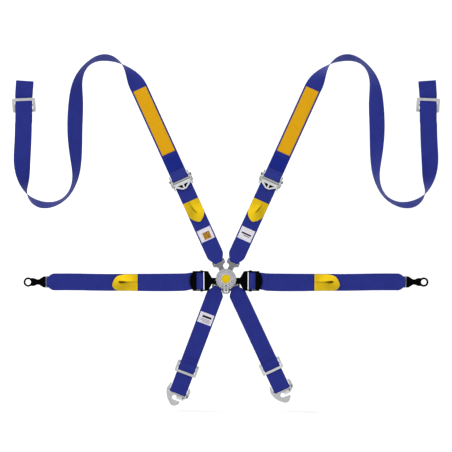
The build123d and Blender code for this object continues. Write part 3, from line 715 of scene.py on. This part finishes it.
def shoulder_upper(side, name, space):
    """The flap round the adjuster's top bar, the patch's strap, the tail and its end loop."""
    adjuster = f"{name}_shoulder_adjuster"
    top, top_front, around_bar = 332.0, 13.6, 4.4
    patch_starts, straight_ends, tail_sections = 411, 629, 190
    flap = [(356, 11.6), (346, 14.6), *arc(top, top_front, around_bar, 75, 270)]
    flap += [(338, 9.1), (356, 8.7), (380, UPPER_FRONT), (straight_ends, UPPER_FRONT)]
    frames = side_frames(space, resample(flap))
    sections = natural_spline(TAIL, tail_sections)
    way = np.gradient(sections, axis=0)
    for (out, up, twist), (d_out, d_up, _) in zip(sections, way):
        heading = math.atan2(side * d_out, d_up)
        angle = math.radians(twist) * side
        across = Vector((
            math.cos(heading) * math.cos(angle), -math.sin(angle), -math.sin(heading) * math.cos(angle),
        ))
        tangent = Vector((math.sin(heading), 0, math.cos(heading)))
        centre = Vector((side * out, -TONGUE_MIDDLE - UPPER_FRONT, up)) * MM
        frames.append((centre, across, across.cross(tangent), HALF_WEB, 0.0))

    # the end loop leans a little towards the middle, above its seam
    upright = Space((side * TAIL_OUT * MM, -TONGUE_MIDDLE * MM, 0), (0, 0, 1))
    lean = math.radians(-side * 4.0)
    leaning = Space(upright.at(545), (math.sin(lean), 0, math.cos(lean)))
    frames += side_frames(upright, resample([(470, UPPER_FRONT), (541, UPPER_FRONT + 0.7)]))
    end = [(1, UPPER_FRONT + 0.8), (21, UPPER_FRONT + 3.6), *arc(42, UPPER_FRONT, 5.2, 60, -60)]
    end += [(21, UPPER_FRONT - 3.6), (1, UPPER_FRONT - 0.9)]
    frames += side_frames(leaning, resample(end), 26.2)
    frames += side_frames(upright, resample([(541, UPPER_FRONT - 0.95), (488, UPPER_FRONT - 1.5)]))

    # the flap is paler, and the strap between it and the patch is a deeper blue
    def tone(centre, s):
        t = (centre - space.origin).dot(space.along) / MM
        sideways = abs((centre - space.origin).dot(space.across)) / MM
        if sideways > 3 or t > patch_starts:
            return (1.0, 1.0, 1.0)
        return (0.30, 0.62, 0.97) if t > 357 else (1.25, 1.2, 1.08)

    piece = webbing(f"{name}_shoulder_upper_webbing", frames, tone)
    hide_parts(f"{name}_shoulder_upper_strap")
    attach(piece, adjuster)
    half = 23.5
    rows = cross_rows(space, (340, 344), half, 16.6) + cross_rows(space, (353, 356), half, 13.4)
    rows += cross_rows(space, (403, 409), half, UPPER_FRONT + 0.8)
    stitches(f"{name}_shoulder_upper_stitches", rows, THREAD_PALE, adjuster)
    tail_rows = box_cross(leaning, 1, 7, 23, UPPER_FRONT + 1.9)[:4]
    stitches(f"{name}_tail_loop_stitches", tail_rows, THREAD, adjuster)


def lever_window_shadows(side, name, space):
    """Black sheets behind the finger tab's two windows, as painted shadow in them."""
    rear, front = 10.7, 11.15
    corners = ((1.2, 311.5), (18.5, 311.5), (5.2, 299.2), (1.2, 299.2))
    faces = [(3, 2, 1, 0), (4, 5, 6, 7)]
    faces += [(k, (k + 1) % 4, 4 + (k + 1) % 4, 4 + k) for k in range(4)]
    for way in (-1, 1):
        title = f"{name}_lever_window_shadow_{'inner' if way == side else 'outer'}"
        mesh = bpy.data.meshes.new(title)
        mesh.from_pydata([space.at(t, way * x, w) for w in (rear, front) for x, t in corners], [], faces)
        window_shadow = link_piece(title, mesh, BLACK)
        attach(window_shadow, f"{name}_shoulder_lever")


def shoulder_pad(name, space):
    """The amber patch and the thread round its edge."""
    adjuster = f"{name}_shoulder_adjuster"
    start, end, sections = 413, 624, 40
    rear = UPPER_FRONT + THICK / 2
    points = [(start + (end - start) * k / sections, rear + 0.55) for k in range(sections + 1)]
    frames = side_frames(space, points, 20.5)
    piece = strip(f"{name}_shoulder_pad", frames, AMBER, thick=1.0, ribs=0.0)
    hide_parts(f"{name}_shoulder_patch")
    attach(piece, adjuster)
    border = box_cross(space, start + 2, end - 2, 18.8, rear + 1.1)[:4]
    sewn = stitches(f"{name}_shoulder_pad_stitches", border, THREAD_GOLD, adjuster, radius=0.28)


# how far the lap webbing and its free layer hang below a straight line, by distance from the buckle
LAP_SAG = (
    (104, 110, 116, 126, 150, 200, 350, 400, 440, 480),
    (0, 0.9, 1.8, 2.4, 2.7, 2.8, 2.6, 1.7, 0.6, 0),
)
FREE_SAG = (
    (104, 110, 116, 126, 150, 180, 230, 265, 286),
    (0, 1.4, 2.9, 4.2, 4.9, 5.1, 4.6, 3.6, 3.4),
)


def lap(side, name):
    """One lap strap's soft pieces; side is -1 for the left and 1 for the right."""
    hinge = Vector(JOINTS[f"{name}_lap_strap_swing"]["pos_m"])
    axis = Vector(JOINTS[f"{name}_lap_release"]["axis"])
    # the origin is where the strap's line meets the harness's middle plane, x = 0
    space = Space((0, -TONGUE_MIDDLE * MM, hinge.z - axis.z * hinge.x / axis.x), axis)
    adjuster, strap, outer = f"{name}_lap_adjuster", f"{name}_lap_strap", f"{name}_lap_outer"
    loop_body = f"{name}_lap_pull_loop"
    # the lock bar's t and w, the webbing's middle round it, and the w of the flat strap
    bar, bar_back, turn, web = 73.0, -2.6, 4.95, -7.55
    joint_at, end_bar, seam = 125.0, 534.0, 464.0
    down = -1 if space.across.z > 0 else 1

    def sag(t):
        return down * float(np.interp(t, *LAP_SAG))

    def free_sag(t):
        return down * float(np.interp(t, *FREE_SAG))

    # both layers beneath the lip, from the lock bar outward
    back = [(bar, web), (joint_at, web)]
    front = [(bar, web), *arc(bar, bar_back, turn, -90, -270), (joint_at - 12, 2.35), (joint_at, 1.2)]
    for part, points, hang in (("back", back, sag), ("front", front, free_sag)):
        frames = side_frames(space, resample(points), shift=hang)
        piece = webbing(f"{name}_lap_turn_{part}", frames)
        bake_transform(piece)

    # the strap itself, sewn round the end fitting's bar
    points = [(joint_at, web), (seam - 1, web), (seam + 2, web + 0.8), (504, web + 0.8)]
    points += [(520, web + 2.9), *arc(end_bar, web, 4.75, 80, -80), (520, web - 2.9)]
    points += [(504, web - 0.8), (seam + 6, web - 0.8)]
    pinch = narrowing(end_bar + 2, end_bar - 19, 13.0)
    piece = webbing(f"{name}_lap_webbing", side_frames(space, resample(points), pinch, shift=sag))
    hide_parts(f"{name}_lap_strap", f"{name}_lap_strap_end")
    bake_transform(piece)
    rows = cross_rows(space, (seam + 5,), 23.5, web + 1.5)
    rows += box_cross(space, seam + 9, 508, 22, web + 1.5)
    stitches(f"{name}_lap_end_stitches", rows, THREAD, outer)

    # the free layer, down to the strap and along it to the finger loop
    points = [(joint_at, 1.2), (150, -4.0), (172, web + 1.6), (286, web + 1.6)]
    frames = side_frames(space, soften(resample(points), 8), shift=free_sag)
    piece = webbing(f"{name}_lap_free_webbing", frames)
    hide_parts(f"{name}_lap_free_end")
    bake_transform(piece)
    hanging = Space(space.at(0, down * FREE_SAG[1][-1]), axis)
    pull_loop(
        f"{name}_lap_loop", hanging, 265, 337, web + 2.5, loop_body, f"{name}_lap_pull_loop",
        LAP_LOOP, -side,
    )


def leg(side, name):
    """One leg strap's soft pieces; side is -1 for the left and 1 for the right."""
    joint = JOINTS[f"{name}_leg_strap_swing"]
    start = Vector((joint["pos_m"][0], -TONGUE_MIDDLE * MM, joint["pos_m"][2]))
    up = Vector(JOINTS[f"{name}_leg_adjust"]["axis"])
    space = Space(start, -up)
    strap, slide, end = f"{name}_leg_strap", f"{name}_leg_slide", f"{name}_leg_strap_end"
    # w of the flat strap, t of the hook's bar, and the webbing's middle round each bar
    web, hook, around_bar, turn = -10.5, 334.0, 4.4, 4.95
    hook_front = web - turn
    joint_at = 262.0

    points = [(48, web - 0.8), (30, web - 0.8), (12, web - 2.8), *arc(0, web, around_bar, 260, 100)]
    points += [(12, web + 2.8), (30, web + 0.8), (48, web + 0.7), (56, web), (joint_at, web)]
    pinch = narrowing(-1.5, 20, 11.0, roundness=0.35)

    # painted shade: two darker lines where the webbing bunches at the slide, standing in for creases
    def painted_crease_shade(centre, s):
        t = (centre - space.origin).dot(space.along) / MM
        shade = 1.0
        for depth, place, width in ((0.24, 240, 3.5), (0.14, 226, 4.5)):
            shade -= depth * math.exp(-((t - place) / width) ** 2)
        return (shade, shade, shade)

    piece = webbing(f"{name}_leg_webbing", side_frames(space, resample(points), pinch), painted_crease_shade)
    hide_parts(f"{name}_leg_strap")
    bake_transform(piece)
    seam = box_cross(space, 26, 46, 19, web + 1.45)
    stitches(f"{name}_leg_stitches", seam, THREAD, strap)

    # round the hook's bar and back up behind, to the slide's middle bar
    points = [(joint_at, web), (hook, web), *arc(hook, hook_front, turn, 90, -90)]
    points += [(318, hook_front - turn), (278, web - 7.2), (joint_at, web - 6.2)]
    points += arc(257.5, web - 3.2, 3.0, -60, -215)
    piece = webbing(f"{name}_leg_end_webbing", side_frames(space, resample(points)))
    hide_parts(f"{name}_leg_strap_end")
    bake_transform(piece)
    if side < 0:
        marks = [(-5, -2, 3.2, 14, INK), (3, 0, 0.6, 15, INK), (7, 0, 0.6, 15, INK), (11, -4, 0.6, 11, INK)]
        cloth_label("left_leg_tag", space, 98, 43, 33, web + 0.75, strap, "left_leg_label", marks)


def lever_slot():
    """Dark floor of the slot cut round the middle of the release lever."""
    middle, thick, steps = -27.0, 0.5, 28
    # the floor lies this far behind the lever's face
    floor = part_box("release_lever")[0][1] + 2.4 * MM
    vertices, faces = [], []
    # radius of the rounded ends and half length of the straight sides: outer edge, then inner
    for radius, straight in ((3.85, 5.1), (1.65, 4.9)):
        for depth in (0.0, thick):
            for k in range(steps):
                angle = 2 * math.pi * k / steps
                shift = straight if math.sin(angle) > 0 else -straight
                x, z = radius * math.cos(angle), middle + shift + radius * math.sin(angle)
                vertices.append((x * MM, floor - depth * MM, z * MM))
    rear_out, front_out, rear_in, front_in = (base * steps for base in range(4))
    for k in range(steps):
        n = (k + 1) % steps
        faces += [
            (front_out + k, front_out + n, front_in + n, front_in + k),
            (rear_out + n, rear_out + k, rear_in + k, rear_in + n),
            (rear_out + k, rear_out + n, front_out + n, front_out + k),
            (rear_in + n, rear_in + k, front_in + k, front_in + n),
        ]
    mesh = bpy.data.meshes.new("release_lever_slot")
    mesh.from_pydata(vertices, [], faces)
    slot = link_piece("release_lever_slot", mesh, BLACK)
    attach(slot, "knob")


for which, title in ((-1, "left"), (1, "right")):
    shoulder(which, title)
    lap(which, title)
    leg(which, title)
lever_slot()


# ------------------------------------------------------------------ hardware finishes
def finish_for(node):
    """The material of a CAD piece, by its name."""
    if node == "knob_badge":
        return BADGE
    if node == "knob_dial":
        return DIAL
    if node.endswith(("release_lever", "adjuster_lever", "hook_gate")):
        return TAB
    if "_lap_" in node:
        return BLACK
    if node.endswith(("hook_rivets", "locking_bar", "leg_strap_plate")):
        return GREY
    if node.endswith("snap_hook"):
        return CLAW
    if node.startswith(("buckle", "latch", "housing", "knob_spring", "release_cam")) or "tongue" in node:
        return STEEL
    return CHROME


for node, piece in frame["nodes"].items():
    for slot in piece.material_slots:
        slot.link = "OBJECT"
        slot.material = finish_for(node)


# ------------------------------------------------------------------ studio
def paper():
    """Matt paper that the camera sees through from behind, so that the back can be viewed."""
    material, tree, shader = node_material("studio_paper")
    grain = add(tree, "ShaderNodeTexNoise", Scale=3.0, Detail=3.0)
    tones = mix_colour(tree, grain.outputs[0], (0.93, 0.93, 0.93, 1), (0.96, 0.96, 0.96, 1))
    tree.links.new(tones, shader.inputs["Base Color"])
    shader.inputs["Roughness"].default_value = 0.9
    behind = add(tree, "ShaderNodeNewGeometry")
    ray = add(tree, "ShaderNodeLightPath")
    clear = add(tree, "ShaderNodeBsdfTransparent")
    blend = add(tree, "ShaderNodeMixShader")
    seen_through = maths(tree, "MULTIPLY", behind.outputs["Backfacing"], ray.outputs["Is Camera Ray"])
    tree.links.new(seen_through, blend.inputs[0])
    tree.links.new(shader.outputs[0], blend.inputs[1])
    tree.links.new(clear.outputs[0], blend.inputs[2])
    tree.links.new(blend.outputs[0], tree.nodes["Material Output"].inputs["Surface"])
    return material


def backdrop():
    """A sweep of paper: floor, quarter turn and wall, in metres."""
    low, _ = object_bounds()
    floor_z = low.z - 0.012
    front, depth, height, turn, half_wide, steps = -12.0, 3.2, 4.5, 1.2, 9.0, 12
    profile = [(front, floor_z), (depth - turn, floor_z)]
    for step in range(1, steps + 1):
        angle = math.pi / 2 * step / steps
        profile.append((depth - turn + turn * math.sin(angle), floor_z + turn - turn * math.cos(angle)))
    profile.append((depth, floor_z + height))
    vertices = [(x, y, z) for y, z in profile for x in (-half_wide, half_wide)]
    faces = [(2 * k, 2 * k + 1, 2 * k + 3, 2 * k + 2) for k in range(len(profile) - 1)]
    mesh = bpy.data.meshes.new("studio_sweep")
    mesh.from_pydata(vertices, [], faces)
    for polygon in mesh.polygons:
        polygon.use_smooth = True
    mesh.materials.append(paper())
    sweep = bpy.data.objects.new("studio_sweep", mesh)
    bpy.context.collection.objects.link(sweep)


def lights():
    """Soft light from all round, and four lamps; places and sizes in metres, power in watts."""
    world = bpy.data.worlds.new("studio_world")
    bpy.context.scene.world = world
    world.use_nodes = True
    sky = world.node_tree.nodes["Background"]
    sky.inputs["Color"].default_value = (0.95, 0.97, 1.0, 1)
    sky.inputs["Strength"].default_value = 0.50
    harness = (0, 0, 0.1)
    for name, place, target, size, power in (
        ("key", (-1.6, -2.6, 2.4), harness, (1.6, 1.2), 50),
        ("fill", (2.2, -2.4, 1.0), harness, (1.4, 1.4), 20),
        ("back_left", (-2.2, 1.9, 2.2), harness, (1.4, 1.0), 40),
        ("paper", (0, 0.4, 3.2), (0, 3.0, 0.6), (4.0, 1.0), 62),
    ):
        data = bpy.data.lights.new(name, "AREA")
        data.shape = "RECTANGLE"
        data.size, data.size_y = size
        data.energy = power
        lamp = bpy.data.objects.new(name, data)
        lamp.location = place
        lamp.rotation_euler = (Vector(target) - Vector(place)).to_track_quat("-Z", "Y").to_euler()
        bpy.context.collection.objects.link(lamp)


def photo_camera():
    """A long lens from straight ahead; the view is view_wide metres wide at the harness."""
    view_wide, middle_z = 1.356, 0.158
    data = bpy.data.cameras.new("camera")
    data.sensor_width = 36
    data.lens = 200
    data.clip_end = 60
    camera = bpy.data.objects.new("camera", data)
    camera.location = (0, -view_wide * data.lens / data.sensor_width, middle_z)
    camera.rotation_euler = (math.pi / 2, 0, 0)
    bpy.context.collection.objects.link(camera)
    bpy.context.scene.camera = camera


backdrop()
lights()
photo_camera()
bpy.context.scene.view_settings.view_transform = "Standard"
